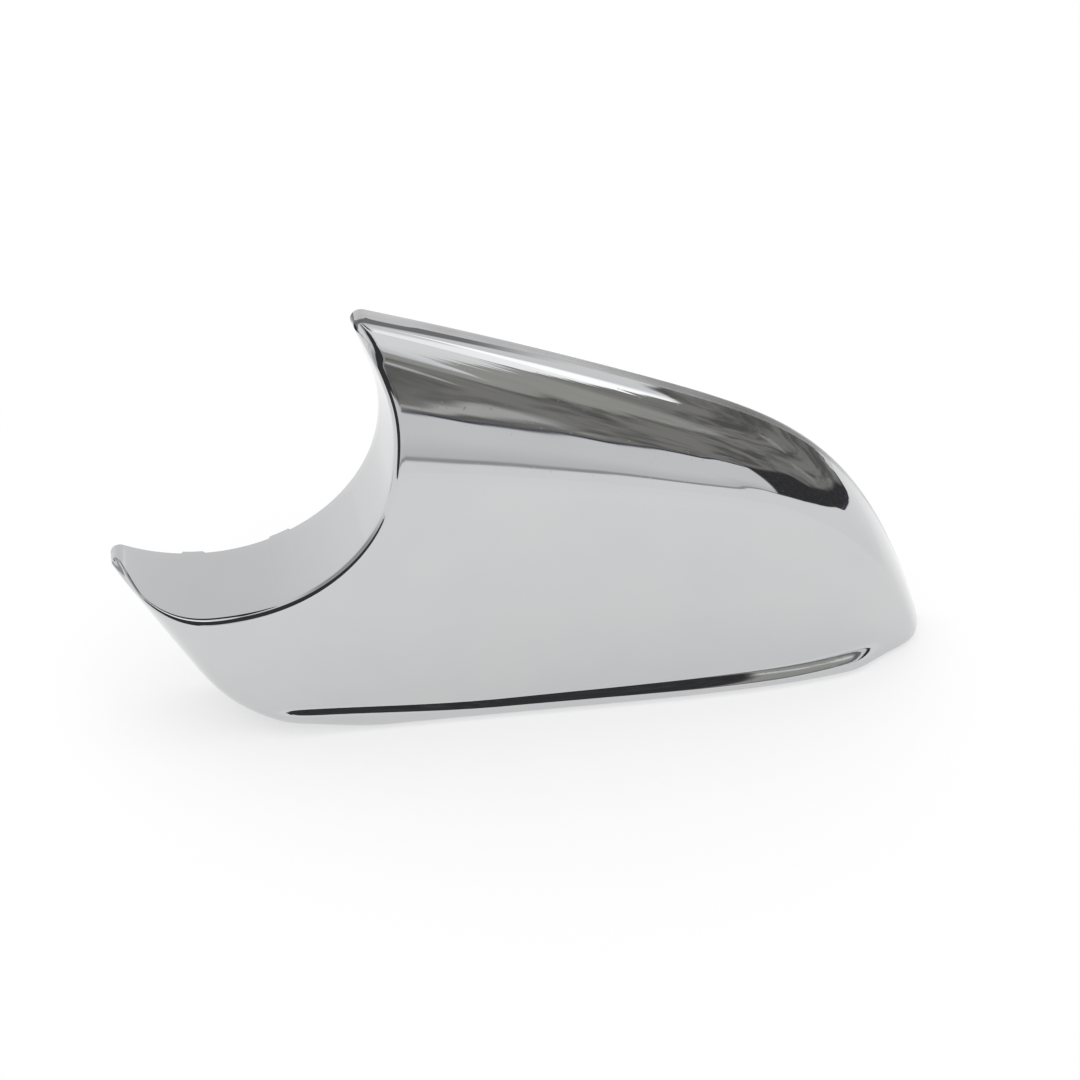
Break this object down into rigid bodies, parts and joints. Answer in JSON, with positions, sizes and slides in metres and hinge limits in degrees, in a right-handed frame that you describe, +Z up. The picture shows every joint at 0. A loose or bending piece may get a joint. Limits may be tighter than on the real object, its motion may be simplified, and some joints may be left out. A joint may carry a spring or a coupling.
{
  "type": "wing mirror cover",
  "caption": "Lower cover of a car wing mirror: a shallow chrome-plated bowl with a flared long edge, scooped at one corner for the mirror's neck and clipped on from its open back.",
  "frame": {"origin": "middle of the cover in plan, on the plane of its flat long edge", "axes": "+X from the neck end to the outer tip, +Y into the open back, +Z up from the long edge; the cover stands on that edge as it is shown"},
  "size_m": [0.2228, 0.0322, 0.1262],
  "materials": {
    "chrome": "mirror plated, satin on the rim and inside"
  },
  "bodies": {
    "root": {"mirror_cover": "chrome"}
  },
  "joints": []
}
